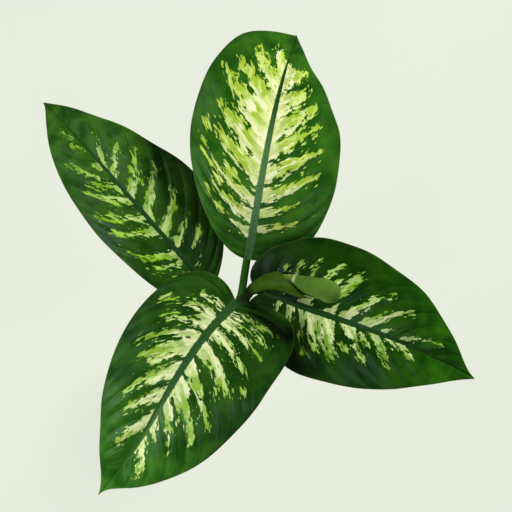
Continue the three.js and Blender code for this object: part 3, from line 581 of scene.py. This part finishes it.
# Leaf: clasp is the height and azimuth of its stalk's foot, bow the two handles of the stalk's
# curve, spread how far that starts outwards, midrib a Bezier; waves of the margin, swell between
# veins and half width of the rib's band in mm; green is dark and light, and the pair after it
# multiplies that green at base and tip, as painted shade near the base and painted light
# towards the tip; cream the streaks' edge and middle, thin and white their width and paleness,
# rib its colour at base and tip. Half: width in mm, peak where it is widest, back and root the
# lobe behind the base, plateau how long it stays wide, taper and hook the run into the tip,
# fold the rise from the midrib, droop the fall to the margin, lean how far veins bend tipwards.
# Streak, in hundredths: the vein it starts on, the vein it ends on, where it starts and ends
# between midrib (0) and margin (100), and its half width in veins.
LEAVES = {
    "leaf_left": dict(
        clasp=(206, 172), bow=(42, 24), spread=0.25, waves=4.5, swell=1.5, band=2.7, seed=3,
        midrib=[[-13, 29, 342], [-73, 75, 390], [-114, 136, 376], [-179, 221, 298]],
        green=((0.008, 0.052, 0.003), (0.042, 0.14, 0.01)), painted_shading=(0.6, 1.3),
        cream=((0.19, 0.41, 0.012), (0.39, 0.62, 0.085)), thin=0.76, white=0.35,
        rib=((0.018, 0.075, 0.02), (0.014, 0.07, 0.01)),
        left=dict(
            width=45.3, peak=0.41, back=0.09, root=0.83, plateau=(0.1, 0.36), taper=0.08, hook=0.04,
            fold=0.3, droop=0.42, lean=-0.5, streaks=[
                (415, 380, 12, 50, 14), (510, 435, 8, 80, 16), (565, 520, 5, 70, 30),
                (550, 540, 74, 84, 14), (715, 690, 5, 42, 28), (700, 640, 30, 88, 10),
                (660, 650, 62, 80, 16), (795, 750, 2, 82, 16), (735, 730, 42, 84, 10),
                (875, 875, 2, 85, 14), (855, 860, 28, 62, 24), (940, 935, 8, 52, 18), (905, 915, 35, 65, 6),
                (985, 1015, 30, 80, 13), (1050, 1040, 8, 30, 14), (1140, 1140, 15, 50, 8),
                (1200, 1200, 20, 55, 8)]),
        right=dict(
            width=64.4, peak=0.33, back=-0.02, root=0.11, plateau=(0.26, 0.18), taper=0.17, hook=0.34,
            fold=0.3, droop=0.4, lean=0.1, streaks=[
                (420, 420, 8, 36, 10), (500, 490, 20, 50, 18), (600, 580, 8, 50, 22), (685, 675, 2, 62, 26),
                (800, 800, 2, 70, 24), (770, 820, 0, 20, 45), (895, 910, 0, 76, 19), (870, 870, 28, 50, 12),
                (1000, 1000, 4, 62, 13), (1050, 1110, 2, 50, 20)])),
    "leaf_back": dict(
        clasp=(224, 45), bow=(40, 44), spread=0.5, waves=5.5, swell=2.1, band=4.0, seed=17,
        midrib=[[18, 55, 364], [24, 116, 412], [30, 188, 434], [68, 283, 356]],
        green=((0.01, 0.07, 0.003), (0.04, 0.15, 0.009)), painted_shading=(1.0, 1.0),
        cream=((0.35, 0.54, 0.034), (0.62, 0.76, 0.19)), thin=0.95, white=0.9,
        rib=((0.09, 0.225, 0.08), (0.014, 0.075, 0.01)),
        left=dict(
            width=73.2, peak=0.47, back=-0.02, root=0.47, plateau=(0.17, 0.49), taper=0.1, hook=0.27,
            fold=0.3, droop=0.38, lean=-0.1, streaks=[
                (1205, 1250, 0, 54, 34), (1125, 1145, 0, 70, 42), (1035, 1050, 0, 80, 44),
                (950, 955, 0, 76, 62), (965, 960, 60, 92, 12), (855, 835, 0, 74, 50), (755, 745, 0, 70, 40),
                (720, 715, 76, 86, 16), (670, 675, 28, 56, 18), (630, 605, 0, 84, 27),
                (650, 650, 76, 84, 12), (530, 520, 0, 64, 32), (570, 570, 50, 64, 14),
                (475, 470, 70, 80, 12), (440, 430, 48, 64, 20), (430, 420, 0, 40, 28),
                (390, 380, 0, 22, 14), (340, 340, 32, 40, 8)]),
        right=dict(
            width=70.6, peak=0.37, back=-0.01, root=0.49, plateau=(0.32, 0.31), taper=0.32, hook=0.41,
            fold=0.3, droop=0.38, lean=0.2, streaks=[
                (1175, 1140, 0, 82, 50), (1040, 1045, 0, 78, 46), (940, 965, 0, 78, 42),
                (865, 875, 0, 76, 38), (760, 765, 0, 74, 36), (660, 655, 0, 74, 30), (555, 555, 0, 54, 22),
                (455, 440, 0, 56, 20), (435, 435, 74, 80, 8)])),
    "leaf_right": dict(
        clasp=(245, -26), bow=(40, 34), spread=0.35, waves=5, swell=2.0, band=3.4, seed=29,
        midrib=[[30, 18, 398], [96, -17, 428], [127, -12, 420], [242, -53, 345]],
        green=((0.004, 0.037, 0.0006), (0.02, 0.095, 0.001)), painted_shading=(0.48, 1.5),
        cream=((0.17, 0.35, 0.02), (0.38, 0.58, 0.14)), thin=0.8, white=0.6,
        rib=((0.015, 0.065, 0.012), (0.01, 0.05, 0.004)),
        left=dict(
            width=71.8, peak=0.2, back=0.18, root=-0.1, plateau=(0.27, 0.5), taper=0.2, hook=0.14,
            fold=0.32, droop=0.42, lean=1.8, streaks=[
                (310, 310, 38, 56, 6), (400, 405, 36, 62, 12), (485, 495, 40, 64, 11),
                (340, 460, 9, 13, 14), (520, 540, 5, 22, 40), (575, 610, 40, 68, 20), (660, 690, 3, 16, 34),
                (670, 710, 22, 70, 22), (630, 635, 38, 48, 12), (745, 880, 6, 66, 24),
                (845, 990, 4, 60, 26), (950, 970, 6, 16, 16), (1035, 1180, 8, 50, 17)]),
        right=dict(
            width=57.8, peak=0.23, back=0.13, root=0.58, plateau=(0.08, 0.34), taper=0.3, hook=0.49,
            fold=0.32, droop=0.4, lean=-0.1, streaks=[
                (330, 330, 8, 34, 22), (435, 440, 6, 48, 24), (520, 505, 4, 72, 18), (565, 575, 0, 62, 34),
                (660, 630, 0, 70, 44), (715, 720, 38, 50, 12), (775, 780, 2, 62, 30),
                (840, 840, 12, 36, 10), (905, 910, 2, 66, 24), (985, 995, 4, 28, 16),
                (1030, 1050, 8, 46, 20)])),
    "leaf_front": dict(
        clasp=(263, 230), bow=(70, 9), spread=0.6, waves=5, swell=2.3, band=3.9, seed=41,
        midrib=[[-3, 0, 440], [-66, -61, 478], [-67, -109, 460], [-116, -163, 380]],
        green=((0.007, 0.052, 0.003), (0.032, 0.122, 0.008)), painted_shading=(0.75, 1.5),
        cream=((0.25, 0.45, 0.035), (0.53, 0.71, 0.23)), thin=0.92, white=0.8,
        rib=((0.03, 0.11, 0.024), (0.05, 0.15, 0.022)),
        left=dict(
            width=71.3, peak=0.26, back=0.26, root=0.91, plateau=(0.3, 0.46), taper=0.16, hook=0,
            fold=0.36, droop=0.46, lean=1.2, streaks=[
                (280, 285, 5, 36, 5), (310, 315, 5, 56, 6), (340, 360, 5, 56, 7), (305, 310, 56, 76, 4),
                (380, 395, 8, 72, 8), (435, 475, 2, 72, 22), (530, 605, 2, 68, 32), (650, 735, 2, 68, 34),
                (670, 680, 72, 82, 10), (760, 885, 2, 72, 24), (760, 770, 46, 54, 16),
                (850, 960, 0, 70, 32), (940, 1055, 4, 60, 19), (910, 940, 12, 40, 10),
                (1040, 1075, 5, 28, 20), (1130, 1200, 5, 72, 20)]),
        right=dict(
            width=58.8, peak=0.26, back=0.07, root=0.69, plateau=(0.19, 0.38), taper=0.13, hook=0.11,
            fold=0.36, droop=0.46, lean=0.7, streaks=[
                (300, 290, 8, 30, 8), (330, 320, 10, 52, 8), (360, 345, 5, 50, 7), (440, 400, 8, 58, 22),
                (460, 450, 2, 62, 16), (445, 445, 66, 86, 7), (490, 500, 0, 30, 50), (535, 540, 0, 66, 24),
                (600, 640, 0, 70, 26), (650, 655, 74, 80, 6), (680, 725, 0, 68, 42), (740, 755, 20, 52, 20),
                (800, 875, 0, 70, 40), (905, 960, 0, 62, 36), (1030, 1115, 0, 70, 34)])),
}


def bezier(points, t):
    """A Bezier curve: its points are blended in pairs by t until one is left."""
    t = np.asarray(t, float)[..., None]
    level = [np.asarray(p, float) + 0 * t for p in points]
    while len(level) > 1:
        level = [a + (b - a) * t for a, b in zip(level, level[1:])]
    return level[0]


def outline(half, length):
    """Half of a blade laid flat: two cubic Beziers, base to widest place to tip, read by the
    share of their length as (along, out)."""
    peak, (before, after) = half["peak"], half["plateau"]
    t = np.linspace(0, 1, 801)
    lobe = bezier([(0, 0), (-half["back"], half["root"]), (peak - before, 1), (peak, 1)], t)
    point = bezier([(peak, 1), (peak + after, 1), (1 - half["taper"], half["hook"]), (1, 0)], t)
    path = np.vstack([lobe, point[1:]]) * (length, half["width"])
    run = run_of(path)
    return lambda share: np.stack([np.interp(share, run / run[-1], path[:, k]) for k in (0, 1)], -1)


def midrib_frame(midrib_at, length, along):
    """Place, direction, right and up on the midrib, continued straight before and after it."""
    share = np.clip(along / length, 0, 1)
    place, way = midrib_at(share)
    right = unit(np.cross(way, (0, 0, 1)))
    return place + way * (along - share * length)[..., None], way, right, np.cross(right, way)


def cream_field(streaks, thin, vein, reach):
    """How deep a place lies in the nearest streak, in veins: half width - |vein - middle|.
    A streak from the midrib tapers to its end as 1.7 - 1.45 s^0.75; one that starts further
    out is a spindle, the root of sin(pi s). The depth stops at 0.3."""
    field = np.full(vein.shape, -2.0)
    for root, tip, start, end, width in np.array(streaks) / 100:
        s = np.clip((reach - start) / (end - start), 0, 1)
        spindle = 1.15 * np.sqrt(np.sin(np.pi * np.clip(s, 0.02, 0.98)))
        half = thin * width * (1.7 - 1.45 * s ** 0.75 if start < 0.1 else spindle)
        past = np.maximum(np.maximum(start - reach, reach - end), 0)
        field = np.maximum(field, half - np.abs(vein - root - (tip - root) * s) - 7 * past)
    return np.minimum(field, 0.3)


def half_blade(leaf, half, side, midrib_at, length, draw):
    """Half a blade as a sheet: rows follow the side veins, quadratic Beziers that leave the
    midrib at share^1.9 of it. The rise above the midrib is width (fold o - droop o^2) for
    o = out / width, plus a swelling between veins as |sin(pi vein)|^0.9, a fine pucker, a wave
    along the margin and the rounded band of the midrib, which narrows as the root of the way
    left to the tip. Gives the places and the maps for its finish."""
    share = np.linspace(0, 1, VEIN_ROWS * VEINS + 1)[:, None] + np.zeros(BLADE_COLUMNS + 1)
    reach = np.linspace(0, 1, BLADE_COLUMNS + 1) ** 1.08 + 0 * share
    edge = outline(half, length)(share)
    start = length * share ** VEIN_SWEEP
    bend = start + (edge[..., 0] - start) * 0.3
    along = (1 - reach) ** 2 * start + 2 * reach * (1 - reach) * bend + reach ** 2 * edge[..., 0]
    out = reach * (1 - reach) * edge[..., 1] + reach ** 2 * edge[..., 1]
    o = out / half["width"]
    vein, hump = VEINS * share, np.sin(np.pi * share)
    leaning = vein - half["lean"] * reach * hump - 0.9 * reach ** 4 * hump
    plump = np.interp(leaning, np.arange(-2, VEINS + 4) + 0.5, draw.uniform(0.55, 1.2, VEINS + 6))
    ends = np.sin(np.pi * share) ** 0.35
    swell = leaf["swell"] * plump * np.abs(np.sin(np.pi * leaning)) ** 0.9
    swell = swell * np.sin(np.pi * reach ** 1.2) ** 0.7 * ends
    pucker = np.sin(2 * np.pi * (2.6 * leaning + 0.7 * np.sin(9 * reach))) * np.sin(np.pi * reach) * ends
    wave = np.sin(2 * np.pi * leaf["waves"] * share + side) * reach ** 3 * hump
    band = leaf["band"] * np.maximum(1 - along / (0.84 * length), 0.004) ** 0.5 + 0.12
    rounded = 0.55 * np.sqrt(band / 4) * np.maximum(1 - (out / band) ** 2, 0)
    rise = half["width"] * (half["fold"] * o - half["droop"] * o ** 2)
    rise = rise + swell + 0.05 * pucker + MARGIN_WAVE * wave + rounded
    place, _, right, up = midrib_frame(midrib_at, length, along)
    first_vein = 3.7 * leaf["seed"] + (RIGHT_VEINS if side == RIGHT else 0)
    return place + right * (side * out)[..., None] + up * rise[..., None], {
        "veins": np.stack([leaning + first_vein, reach], -1),
        "band": np.stack([along, np.minimum(out / band, 50)], -1),
        "cream": np.stack([cream_field(half["streaks"], leaf["thin"], vein, reach), 0 * reach], -1),
    }


def thickened(points, triangles, half_thickness):
    """A sheet becomes a closed skin: place +- normal x half thickness, with a band of faces
    along its free edges. The normal is the mean direction of the faces round the place.
    Points double, first the upper ones, then the lower."""
    count = len(points)
    first, place, triangles = merged(points, triangles)
    a, b, c = (points[triangles[:, k]] for k in range(3))
    facing = np.cross(b - a, c - a)
    normal = np.zeros((len(first), 3))
    for k in range(3):
        np.add.at(normal, place[triangles[:, k]], facing)
    normal /= np.maximum(np.linalg.norm(normal, axis=1, keepdims=True), 1e-12)
    shift = (normal * half_thickness[first][:, None])[place]
    edges = np.concatenate([triangles[:, [k, (k + 1) % 3]] for k in range(3)])
    marks = place[edges].astype(np.int64)
    free = ~np.isin(marks[:, 0] * count + marks[:, 1], marks[:, 1] * count + marks[:, 0])
    a, b = edges[free].T
    rim = np.concatenate([np.stack([b, a, a + count], -1), np.stack([b, a + count, b + count], -1)])
    faces = np.concatenate([triangles, triangles[:, ::-1] + count, rim])
    return np.concatenate([points + shift, points - shift]), faces


def make_blade(name, leaf, midrib_at, length, finish):
    """Both halves, joined along the midrib and thickened, with the lower skin marked in a map."""
    draw = np.random.default_rng(leaf["seed"])
    halves = [half_blade(leaf, leaf[label], side, midrib_at, length, draw)
              for label, side in (("left", LEFT), ("right", RIGHT))]
    rows, columns = halves[0][0].shape[:2]
    grid = cells(rows - 1, columns - 1)
    triangles = np.concatenate([grid[:, ::-1], grid + rows * columns])
    points = np.concatenate([sheet.reshape(-1, 3) for sheet, _ in halves])
    maps = {label: np.concatenate([half_maps[label].reshape(-1, 2) for _, half_maps in halves] * 2)
            for label in halves[0][1]}
    maps["cream"][len(points):, 1] = 1
    reach = maps["veins"][:len(points), 1]
    points, faces = thickened(points, triangles, BLADE_HALF_THICKNESS - MARGIN_THINNING * reach ** 3)
    return make_piece(name, points, faces, finish, maps)


def blade_finish(name, leaf, length):
    """Leaf green with ragged cream streaks. The cream's edge is where the streak's depth plus
    noise drawn out along the veins passes 0; it pales towards the midrib and along veins."""
    f = Finish(name, Roughness=0.36, Specular_IOR_Level=0.42, Coat_Weight=0.1, Coat_Roughness=0.25)
    veins, cream_map, band_map, spot = f.uv("veins"), f.uv("cream"), f.uv("band"), f.place()
    vein, reach = f.part(veins, 0), f.part(veins, 1)
    depth, under = f.part(cream_map, 0), f.part(cream_map, 1)
    along, beside = f.part(band_map, 0), f.part(band_map, 1)
    to_vein = f.off(f.calc("FRACT", f.calc("ADD", vein, 0.5)), 0.5)
    dark, light = leaf["green"]

    # Where the cream ends: torn by noise of three sizes, with holes in it and specks beyond it.
    drawn = f.noise(veins, (5.2, 8.0), 2, 0.55)
    spots = f.noise(veins, (7.5, 13), 0)
    ragged = f.spread(f.noise(veins, (1.7, 3.2)), 0.6, 0)
    ragged = f.spread(f.noise(veins, (15, 24), 1), 0.4, ragged)
    ragged = f.spread(drawn, 1.3, ragged)
    holes = f.calc("SUBTRACT", f.mapped(spots, 0.27, 0.22, 0, 0.35), f.mapped(spots, 0.76, 0.8, 0, 0.7))
    ragged = f.calc("ADD", ragged, holes)
    deep = f.calc("MULTIPLY_ADD", ragged, f.mapped(reach, 0, 0.5, 0.6, 1), depth)
    cream = f.mapped(deep, -0.01, 0.014)

    # Green: darker towards the base as painted shade and brighter towards the tip as painted light, paler on
    # the veins and next to the cream.
    cloud = f.noise(spot, 0.045, 3, 0.55)
    green = f.over(dark, light, cloud, 0.3, 0.72)
    green = f.over(green, tinted(light, 1.5), f.noise(veins, (9, 3), 3, 0.6), 0.4, 0.8, 0.2)
    green = f.over(green, tinted(light, 1.3), to_vein, 0.1, 0, 0.12)
    # Painted shade and painted light: the green is multiplied by the leaf's first factor at the base and its
    # second at the tip.
    green = f.mix(1, green, f.mapped(along, 0.1 * length, 0.95 * length, *leaf["painted_shading"]), "MULTIPLY")
    green = f.over(green, tinted(light, 1.9), deep, -0.1, 0, 0.12)

    # Cream: yellow-green at its edge and in patches, whitish along the veins near the midrib.
    lime, pale = leaf["cream"]
    tone = f.over(tinted(lime, 1.2), pale, deep, 0, 0.2)
    patch = f.spread(to_vein, 0.35, f.noise(veins, (2.6, 5), 3, 0.55), 0.22)
    tone = f.over(tone, lime, patch, 0.47, 0.57, 0.95)
    whitish = f.times(f.mapped(to_vein, 0.26, 0.02), f.mapped(reach, 0.72, 0.15))
    whitish = f.calc("MAXIMUM", whitish, f.mapped(beside, 6, 1.2, 0, 0.55))
    whitish = f.times(whitish, f.mapped(along, 0.85 * length, 0.6 * length, 0.3, 1))
    whitish = f.times(whitish, f.mapped(drawn, 0.36, 0.52, 0.25, 1))
    blotch = f.times(f.mapped(f.noise(veins, (3.4, 4.2)), 0.54, 0.64), f.mapped(reach, 0.7, 0.3))
    whitish = f.calc("MAXIMUM", whitish, blotch)
    tone = f.mix(f.times(whitish, leaf["white"]), tone, (0.94, 0.95, 0.62))
    colour = f.mix(cream, green, tone)

    # The midrib's band stays green, the margin has a thin line, pale in places as a painted highlight and
    # brown in others where it is dry, the tip is dry.
    rib = f.over(*leaf["rib"], along, 0.34 * length, 0.64 * length)
    shaded = f.mix(1, rib, (0.7, 0.7, 0.7), "MULTIPLY")
    rib = f.over(shaded, rib, f.noise(band_map, (0.3, 5)), 0.35, 0.7)
    nibbled = f.calc("MULTIPLY_ADD", f.noise(band_map, (0.35, 0.1), 3), 0.7, beside)
    colour = f.over(colour, rib, nibbled, 1.39, 1.27)
    # The margin's line: its pale green is a painted highlight along the rim, its brown a dry edge.
    rim_highlight_and_dry_edge = f.over((0.13, 0.25, 0.07), (0.26, 0.19, 0.09), f.noise(spot, 0.03, 2), 0.45, 0.62)
    colour = f.over(colour, rim_highlight_and_dry_edge, reach, 0.986, 1, 0.5)
    colour = f.over(colour, (0.115, 0.085, 0.04), along, length - 7, length - 1.5, 0.75)

    # Below, the blade is paler and duller and the streaks only shine through.
    colour = f.mix(under, colour, f.mix(0.62, colour, (0.13, 0.235, 0.085)))
    relief = f.bump(f.noise(spot, 1.7), 0.05, f.bump(f.noise(veins, (34, 7), 2, 0.6), 0.07))
    relief = f.bump(f.times(f.mapped(to_vein, 0.14, 0), f.mapped(reach, 0.95, 0.55)), -0.2, relief)
    rough = f.calc("MULTIPLY_ADD", cream, 0.08, f.mapped(cloud, 0.3, 0.7, 0.31, 0.42))
    rough = f.node("Mix", 0, {0: under, 2: rough, 3: 0.55}, data_type="FLOAT")
    f.set(Base_Color=colour, Normal=relief, Roughness=rough)
    return f.material


CLASP_ANGLE = 48             # a stalk's foot hugs the cane this far to each side, in degrees
CLASP_LENGTH, CLASP_CLEAR = 15, GAP + 0.12
STALK_RADIUS, RIB_RADIUS, RIB_TIP_RADIUS = 4.3, 3.6, 0.8
RIB_END, RIB_SINK = 0.9, 0.2         # share of the midrib, depth of the rib's top in the blade
FOOT_RINGS, LOFT_RINGS, STALK_RINGS, STALK_SIDES = 18, 8, 90, 40


def clasp_ring(foot, s, outward):
    """A crescent round the cane, a share s up the clasp: inside at the cane's radius + 0.42,
    outside rim + thickness cos(90 a / A) further out, for the angle a from -A to A. The angle A
    opens from the pointed foot as the root of s, and the rim and the thickness grow."""
    share = cane_share(foot + CLASP_LENGTH * s)
    half_angle = np.radians(CLASP_ANGLE * np.sqrt(np.interp(s, [0, 0.4], [0.03, 1])))
    rim, thickness = np.interp(s, [0, 0.3], [0.1, 0.9]), np.interp(s, [0, 0.5, 1], [0.1, 1.56, 2.6])
    place, way = cane_at(share)
    first, second = axes(way, outward)
    half = STALK_SIDES // 2
    angle = np.linspace(-half_angle, half_angle, half)
    inner = cane_radius(share) + CLASP_CLEAR
    outer = inner + rim + thickness * np.cos(np.linspace(-np.pi / 2, np.pi / 2, half))
    radius = np.append(outer, np.full(half, inner))
    angle = np.append(angle, angle[::-1])[:, None]
    return place + radius[:, None] * (first * np.cos(angle) + second * np.sin(angle))


def stalk_grid(leaf, midrib_at, length):
    """The foot's crescents, a straight loft to the first round ring, a cubic Bezier that bows
    out to the blade, and the rib below the midrib, whose top stays inside the blade."""
    height, azimuth = leaf["clasp"]
    outward = np.array([np.cos(np.radians(azimuth)), np.sin(np.radians(azimuth)), 0])
    feet = [clasp_ring(height, s, outward) for s in np.linspace(0, 1, FOOT_RINGS) ** 1.6]
    leave = cane_share(height + CLASP_LENGTH + 2 * STALK_RADIUS)
    stem_place, stem_way = cane_at(leave)
    start = stem_place + axes(stem_way, outward)[0] * (cane_radius(leave) + 0.9 + STALK_RADIUS)
    foot, foot_way, _, foot_up = midrib_frame(midrib_at, length, np.array(0.0))
    end = foot + foot_up * (RIB_SINK - RIB_RADIUS)
    way = unit(stem_way + outward * leaf["spread"])
    handles = [start, start + way * leaf["bow"][0], end - foot_way * leaf["bow"][1], end]
    bow_at, _ = by_length(lambda t: bezier(handles, t))
    share = np.linspace(0, 1, STALK_RINGS, endpoint=False)
    centres, ways = bow_at(share)
    rib = np.linspace(0, 1, STALK_RINGS)
    rib_radii = RIB_RADIUS + (RIB_TIP_RADIUS - RIB_RADIUS) * rib ** 0.8
    rib_place, rib_way, _, rib_up = midrib_frame(midrib_at, length, rib * RIB_END * length)
    centres = np.vstack([centres, rib_place + rib_up * (RIB_SINK - rib_radii)[:, None]])
    ways = np.vstack([ways, rib_way])
    radii = np.append(STALK_RADIUS + (RIB_RADIUS - STALK_RADIUS) * share, rib_radii)
    firsts = [outward]
    for way in ways:
        firsts.append(axes(way, firsts[-1])[0])
    first = np.array(firsts[1:])
    half = STALK_SIDES // 2
    spread = (np.arange(half) - (half - 1) / 2) * np.pi / half
    angle = np.append(spread, np.pi - spread[::-1])[None]
    groove = 1 - 0.07 * np.exp(-((np.abs(angle) - np.pi) / 0.35) ** 2)
    free = around(centres, first, np.cross(ways, first), radii[:, None] * groove, angle)
    ease = np.linspace(0, 1, LOFT_RINGS + 2)[1:-1, None, None]
    return capped(np.concatenate([feet, feet[-1] * (1 - ease) + free[0] * ease, free]))


def stalk_finish(name, leaf):
    """Green with darker streaks along it and small pale flecks, paler towards its foot."""
    f = Finish(name, Roughness=0.42, Specular_IOR_Level=0.4)
    where = f.uv("length_and_turn")
    streak = f.noise(where, (0.035, 12), 3, 0.6)
    tone = f.over(leaf["green"][0], tinted(leaf["green"][1], 0.95), streak, 0.35, 0.7)
    tone = f.over(tone, (0.17, 0.28, 0.10), f.noise(where, (0.22, 20), 2, 0.6), 0.6, 0.68, 0.5)
    tone = f.over(tone, (0.17, 0.27, 0.085), f.part(where, 0), 90, 8, 0.6)
    f.set(Base_Color=tone, Normal=f.bump(streak, 0.25))
    return f.material


for name, leaf in LEAVES.items():
    midrib_at, length = by_length(lambda t: bezier(leaf["midrib"], t))
    blade = make_blade(name + "_blade", leaf, midrib_at, length, blade_finish(name + "_skin", leaf, length))
    stalk = make_tube(name + "_stalk", stalk_grid(leaf, midrib_at, length),
                      stalk_finish(name + "_stalk_skin", leaf))
    for piece in (blade, stalk):
        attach(piece, "root")
        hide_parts(name)


# ---------------- young leaf: hood and roll
# The newest stalk stands on the cane's top and opens into a thin olive hood, cut off at a
# slant. The blade inside is still rolled up, smooth and light green, and nods over the lip.
YOUNG_AXIS = [[10.9, 11.9, 395], [12.3, 14.1, 418], [16.8, 16.5, 436], [23.4, 18.3, 448], [31.8, 17.8, 456],
              [41.4, 16.3, 461], [50.4, 14.1, 464], [59.6, 11.8, 466], [68.3, 10, 466], [74.4, 8.7, 462],
              [79.3, 8.1, 453], [82.5, 8.6, 437]]
HOOD_RADII = [4.4, 4.4, 5, 6.4, 7.9, 8.8, 9.4, 10, 10, 10, 10, 10]
ROLL_RADII = [2.9, 2.9, 3.4, 4.4, 5.8, 7.2, 8, 8.8, 9.6, 10.3, 8.2, 0.7]
HOOD_START, HOOD_END = 1, 7.2        # these and the next are row numbers of the axis
ROLL_START = 1.5
ROW_LENGTH = 12              # millimetres that the hood's map counts for a row
HOOD_ROWS, HOOD_COLUMNS = 120, 60
HOOD_GREENS = (0.015, 0.053, 0.002), (0.037, 0.090, 0.004)
YOUNG_STALK_BEND, YOUNG_RINGS = [8.4, 12.8, 335], 100
ROLL_LAP = 1.0               # height of the seam where the rolled blade laps over itself
ROLL_ROWS, ROLL_COLUMNS = 200, 95
SEAM_ANGLE = np.radians(100)
young_curve = through(YOUNG_AXIS)


def young_frame(row):
    """Centre, back and side of the common axis at a row number with a fraction."""
    share = row / (len(YOUNG_AXIS) - 1)
    back, side = axes(direction(young_curve, share), (-1, 0, 1))
    return young_curve(share), back, side


def hood_sheet():
    """The hood between its two margins, as angles round the axis from its back: nearly a
    closed tube at the stalk, it opens, and then the far margin swings across to the near one.
    Both margins roll in a little, and the near one flares to a lip before the tip."""
    row = np.linspace(HOOD_START, HOOD_END, HOOD_ROWS + 1)
    opening = step((row - 1) / 3)
    slant = np.clip((row - 4) / (HOOD_END - 4), 0, 1)
    near, far = 150 - 38 * opening, 50 * opening - 150
    near = np.radians(near + (98 - near) * slant)
    far = np.radians(far + (96 - far) * slant ** 0.62)
    share = np.linspace(0, 1, HOOD_COLUMNS + 1)
    angle = far[:, None] + (near - far)[:, None] * share
    radius = np.interp(row, np.arange(len(HOOD_RADII)), HOOD_RADII)
    radius = radius - 0.4 * (1 - step((row - HOOD_START) / 0.5))
    rolled = 0.35 * sum(np.exp(-(edge * HOOD_COLUMNS / 2.5) ** 2) for edge in (share, 1 - share))
    flare = 1.7 * step((row - 4.2) / 1.5) * (1 - step((row - 6) / 1.2))
    lip = flare[:, None] * np.exp(-((near[:, None] - angle) / 0.5) ** 2)
    return around(*young_frame(row), radius[:, None] + lip - rolled, angle), row, angle


def sheath_finish(name, dark, light, fine=1.0):
    """Smooth young skin with fine parallel veins along it."""
    f = Finish(name, Roughness=0.42, Specular_IOR_Level=0.4)
    where = f.uv("length_and_turn")
    lines = f.noise(where, (0.02, 46 * fine), 2, 0.55)
    tone = f.over(dark, light, f.noise(f.place(), 0.07, 3, 0.55), 0.32, 0.68)
    tone = f.over(tone, tinted(light, 1.45), lines, 0.45, 0.75, 0.45)
    f.set(Base_Color=tone, Normal=f.bump(lines, 0.22))
    return f, tone, f.part(where, 0)


hood_skin = sheath_finish("hood_skin", *HOOD_GREENS)[0]
hood_skin.set(Specular_IOR_Level=0.22)
sheet, row, angle = hood_sheet()
wall = 0.13 + 0.32 * step((row - HOOD_START) / 0.8)
points, faces = thickened(sheet.reshape(-1, 3), cells(HOOD_ROWS, HOOD_COLUMNS),
                          np.repeat(wall, HOOD_COLUMNS + 1))
hood_map = np.stack(np.broadcast_arrays(ROW_LENGTH * row[:, None], angle / (2 * np.pi)), -1)
hood = make_piece("young_hood", points, faces, hood_skin.material,
                  {"length_and_turn": np.stack([hood_map, hood_map])})
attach(hood, "root")
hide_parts("young_leaf_hood")


def young_stalk():
    """A tube on the cane's end: its route is a Catmull-Rom curve that starts square to the cut.
    Its last two rings stand inside the hood's foot. Gives the rings and the length."""
    foot, way = (v[0] for v in cane_at(np.array([1.0])))
    foot = foot + way * GAP
    stalk_at, _ = by_length(through([foot, foot + way * 8, YOUNG_STALK_BEND, YOUNG_AXIS[0], YOUNG_AXIS[1]]))
    share = np.linspace(0, 1, YOUNG_RINGS)
    centre, ways = stalk_at(share)
    ways[0] = way
    radius = CANE_TOP_RADIUS - 0.4 + (HOOD_RADII[0] - CANE_TOP_RADIUS + 0.4) * share ** 0.5
    angle = full_turn(STALK_SIDES)[None]
    lower = around(centre, *axes(ways, (-1, 0, 1)), radius[:, None] + 0 * angle, angle)
    inside = young_frame(np.array([HOOD_START + 0.15, HOOD_START + 0.4]))
    grid = capped(np.concatenate([lower, around(*inside, np.full((2, 1), 4.3) + 0 * angle, angle)]))
    return grid, run_of(grid.mean(1))[-1]


grid, top = young_stalk()
stem_skin, tone, run = sheath_finish("young_stalk_skin", (0.066, 0.115, 0.028), (0.105, 0.16, 0.045))
stem_skin.set(Base_Color=stem_skin.over(tone, HOOD_GREENS[1], run, top - 70, top - 12))
young_stem = make_tube("young_stalk", grid, stem_skin.material)
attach(young_stem, "root")
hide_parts("young_leaf_hood")


def roll_grid():
    """Rings of one turn of a spiral: the radius falls by the lap from the seam's outer edge
    round to the place under it. The radii of the rows are joined by a smooth curve."""
    last = len(YOUNG_AXIS) - 1
    row = np.linspace(ROLL_START, last, ROLL_ROWS)
    pairs = np.stack([np.arange(last + 1), ROLL_RADII, np.zeros(last + 1)], -1)
    radius = through(pairs)(row / last)[:, 1:2]
    lap = np.minimum(ROLL_LAP, radius * 0.15)
    turn = np.append(np.linspace(0, 0.985, ROLL_COLUMNS), [0.9925])
    reach = radius - lap * turn
    return capped(around(*young_frame(row), reach, (SEAM_ANGLE + 2 * np.pi * turn)[None] + 0 * reach))


roll_skin, tone, run = sheath_finish("roll_skin", (0.060, 0.140, 0.014), (0.100, 0.205, 0.024), 0.8)
tone = roll_skin.over(tone, (0.20, 0.33, 0.065), run, 50, 44, 0.7)
shadow = roll_skin.times(roll_skin.mapped(run, 50, 56, 0, 0.35), roll_skin.mapped(run, 74, 60))
tone = roll_skin.mix(shadow, tone, (0.050, 0.115, 0.010))
# A pale ring round the roll at 49 mm along it: a painted highlight.
tone = roll_skin.over(tone, (0.44, 0.52, 0.24), roll_skin.off(run, 49.0), 1.7, 0.6, 0.75)
roll_skin.set(Base_Color=roll_skin.over(tone, (0.13, 0.27, 0.035), run, 62, 84, 0.4))
roll = make_tube("young_roll", roll_grid(), roll_skin.material)
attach(roll, "root")
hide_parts("young_leaf_roll")
